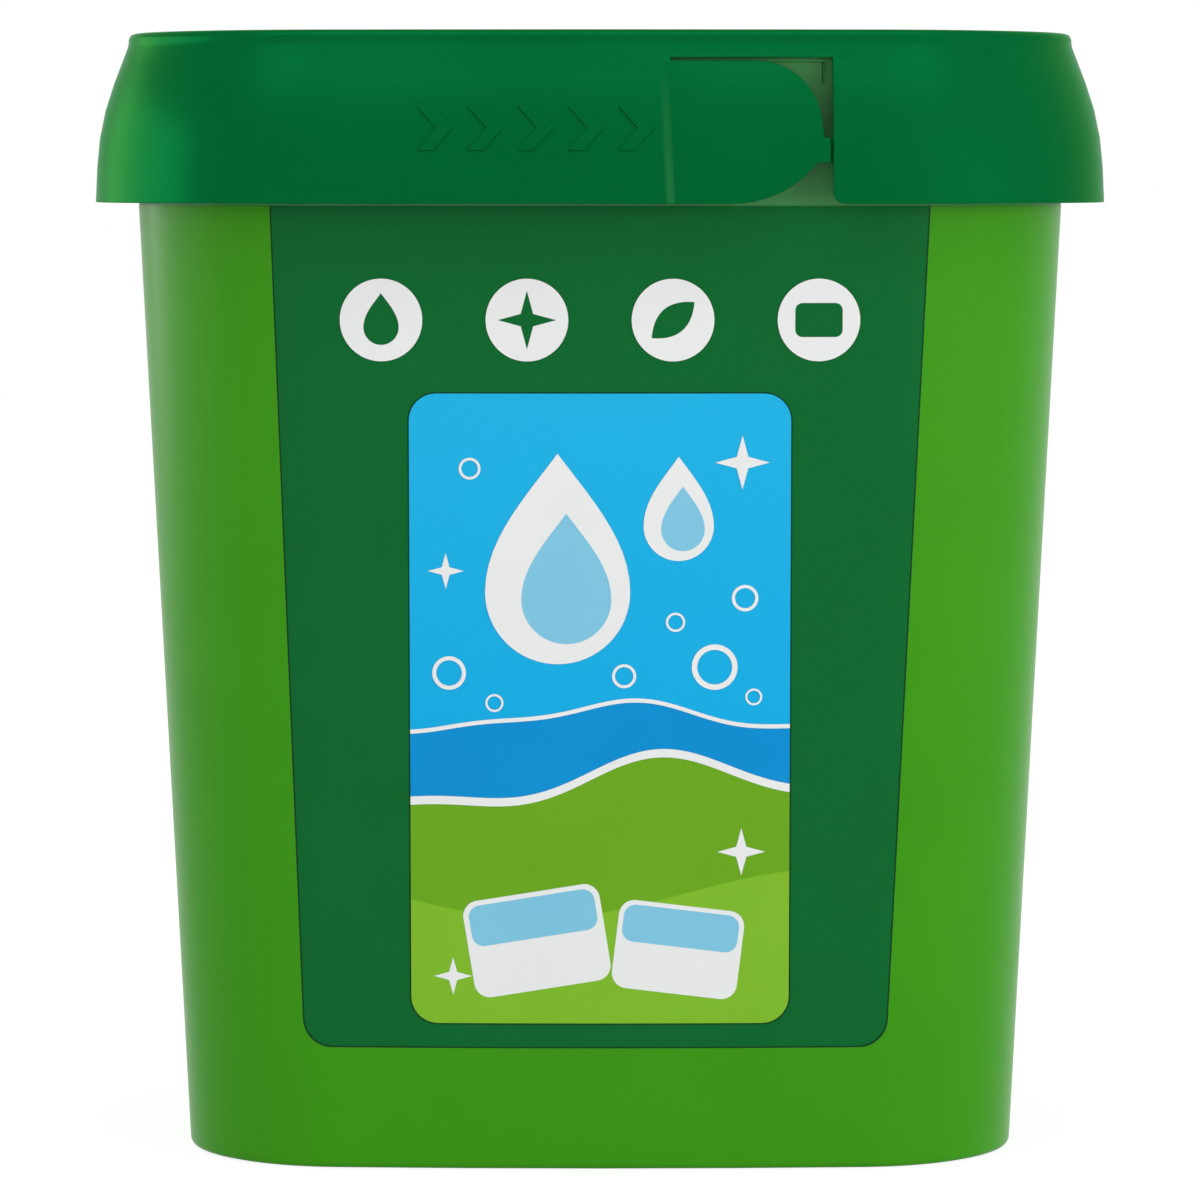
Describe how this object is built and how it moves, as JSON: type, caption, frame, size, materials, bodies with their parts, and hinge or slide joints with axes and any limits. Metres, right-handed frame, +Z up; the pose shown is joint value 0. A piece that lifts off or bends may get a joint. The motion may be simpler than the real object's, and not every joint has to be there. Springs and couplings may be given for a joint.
{
  "type": "dishwasher tablet tub",
  "caption": "Tall tapered plastic tub with a printed label film moulded into its wall, a press-on bell-shaped lid with tear tabs, and layers of dishwasher tablets inside.",
  "frame": {"origin": "middle of the base, on the plane that the foot ring stands on", "axes": "+Z up along the tub, X across the wide faces, and the face that the picture shows looks along -Y"},
  "size_m": [0.1726, 0.1216, 0.19],
  "materials": {
    "tub_plastic": "moulded polypropylene, its outer wall faced with a glossy printed film that is moulded in",
    "lid_plastic": "satin moulded polypropylene",
    "tablet": "pressed powder in clear film"
  },
  "bodies": {
    "tub": {"tub": "tub_plastic", "tablets_layer_1": "tablet", "tablets_layer_2": "tablet", "tablets_layer_3": "tablet", "tablets_layer_4": "tablet", "tablets_layer_5": "tablet", "tablets_layer_6": "tablet", "tablets_layer_7": "tablet", "tablets_layer_8": "tablet"},
    "lid": {"lid": "lid_plastic"}
  },
  "joints": [
    {"name": "lid_lift", "type": "slide", "parent": "tub", "child": "lid", "axis": [0, 0, 1], "range_m": [0, 0.1]}
  ]
}
